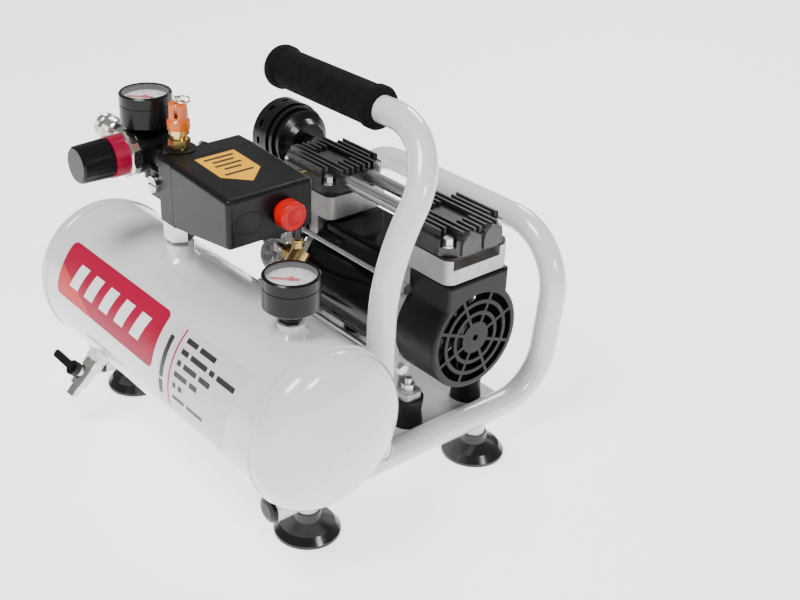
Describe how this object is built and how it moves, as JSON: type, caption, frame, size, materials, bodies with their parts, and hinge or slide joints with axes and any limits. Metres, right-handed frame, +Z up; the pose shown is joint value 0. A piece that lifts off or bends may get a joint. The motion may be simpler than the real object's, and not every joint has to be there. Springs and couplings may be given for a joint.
{
  "type": "airbrush compressor",
  "caption": "Twin-head oil-free air compressor on a bent-tube frame with a small horizontal tank, pressure switch, regulator, gauges and carrying handle.",
  "frame": {"origin": "middle of the footprint on the floor, without the mains lead", "axes": "+X along the tank to the fan end, +Y to the pump side, +Z up"},
  "size_m": [0.4555, 0.4542, 0.3088],
  "materials": {
    "white_paint": "gloss white enamel",
    "tank_paint": "gloss white enamel",
    "grip_foam": "matt foam",
    "black_rubber": "satin",
    "black_plastic": "fine texture",
    "gloss_black": "gloss",
    "cast_aluminium": "as cast",
    "dark_casting": "dark coated casting",
    "tube_aluminium": "drawn",
    "zinc_steel": "zinc plated",
    "lamination": "laminated",
    "nickel": "nickel plated",
    "brass": "machined",
    "sleeve_bronze": "anodised",
    "red_plastic": "gloss",
    "dark_red": "satin",
    "amber_clear": "translucent",
    "lens_clear": "clear",
    "dial_white": "printed",
    "needle_red": "matt",
    "felt": "felt",
    "cable_black": "satin",
    "hose_mix": "braided"
  },
  "bodies": {
    "root": {"frame_tube": "white_paint", "runner_plugs": "gloss_black", "suction_feet": "black_rubber", "foot_screws": "zinc_steel", "foot_bushes": "white_paint", "base_plate": "white_paint", "tank_shell": "tank_paint", "tank_ends": "tank_paint", "tank_bosses": "tank_paint", "handle_tube": "white_paint", "handle_grip": "grip_foam", "rubber_mounts": "black_rubber", "mount_fasteners": "zinc_steel", "bearing_brackets": "cast_aluminium", "tie_rods": "zinc_steel", "motor_stator": "lamination", "motor_skirt": "gloss_black", "ball_bearings": "zinc_steel", "pistons": "cast_aluminium", "end_cover_right": "black_plastic", "end_cover_left": "black_plastic", "cylinder_sleeves": "sleeve_bronze", "valve_plates": "black_rubber", "cylinder_heads": "dark_casting", "head_bolts": "zinc_steel", "tie_tubes": "tube_aluminium", "filter_housing": "gloss_black", "filter_element": "felt", "switch_base": "black_plastic", "switch_cover": "gloss_black", "pipe_fittings": "nickel", "regulator_body": "gloss_black", "regulator_nut": "nickel", "regulator_ring": "dark_red", "gauge_cases": "gloss_black", "gauge_dials": "dial_white", "gauge_lenses": "lens_clear", "coupler_body": "nickel", "safety_valve_body": "brass", "safety_valve_cap": "amber_clear", "brass_fittings": "brass", "air_hoses": "hose_mix", "motor_lead": "cable_black", "capacitor": "gloss_black", "drain_valve_body": "nickel", "mains_lead": "cable_black", "mains_coil": "cable_black", "mains_plug": "gloss_black"},
    "rotor": {"motor_shaft": "zinc_steel", "rotor_core": "lamination", "eccentrics": "cast_aluminium", "cooling_fans": "black_plastic"},
    "power_button": {"switch_button": "red_plastic"},
    "pressure_knob": {"regulator_knob": "gloss_black"},
    "line_needle": {"line_gauge_needle": "needle_red"},
    "tank_needle": {"tank_gauge_needle": "needle_red"},
    "release_sleeve": {"coupler_sleeve": "nickel"},
    "relief_pull": {"safety_valve_pull": "nickel"},
    "drain_handle": {"drain_lever": "gloss_black"},
    "filter_lid": {"filter_cap": "gloss_black"}
  },
  "joints": [
    {"name": "rotor_spin", "type": "hinge", "parent": "root", "child": "rotor", "pos_m": [0.031, 0.06207, 0.121], "axis": [1, 0, 0], "continuous": true},
    {"name": "button_travel", "type": "slide", "parent": "root", "child": "power_button", "axis": [1, 0, 0], "range_m": [-0.004, 0], "stiffness_N_per_m": 400},
    {"name": "pressure_adjust", "type": "hinge", "parent": "root", "child": "pressure_knob", "pos_m": [-0.08, -0.15803, 0.246], "axis": [0, 1, 0], "range_deg": [-720, 0]},
    {"name": "line_gauge_sweep", "type": "hinge", "parent": "root", "child": "line_needle", "pos_m": [-0.08, -0.09353, 0.2878], "axis": [0, 0, -1], "range_deg": [0, 270], "stiffness_Nm_per_rad": 0.0002},
    {"name": "tank_gauge_sweep", "type": "hinge", "parent": "root", "child": "tank_needle", "pos_m": [0.1181, -0.09853, 0.2128], "axis": [0, 0, -1], "range_deg": [0, 270], "stiffness_Nm_per_rad": 0.0002},
    {"name": "sleeve_release", "type": "slide", "parent": "root", "child": "release_sleeve", "axis": [1, 0, 0], "range_m": [0, 0.004], "stiffness_N_per_m": 600},
    {"name": "relief_lift", "type": "slide", "parent": "root", "child": "relief_pull", "axis": [0, 0, 1], "range_m": [0, 0.003], "stiffness_N_per_m": 900},
    {"name": "drain_turn", "type": "hinge", "parent": "root", "child": "drain_handle", "pos_m": [-0.098, -0.15878, 0.04855], "axis": [0, -0.7071, 0.7071], "range_deg": [0, 90]},
    {"name": "filter_twist", "type": "hinge", "parent": "root", "child": "filter_lid", "pos_m": [-0.1446, 0.07847, 0.203], "axis": [-1, 0, 0], "range_deg": [0, 30]}
  ]
}
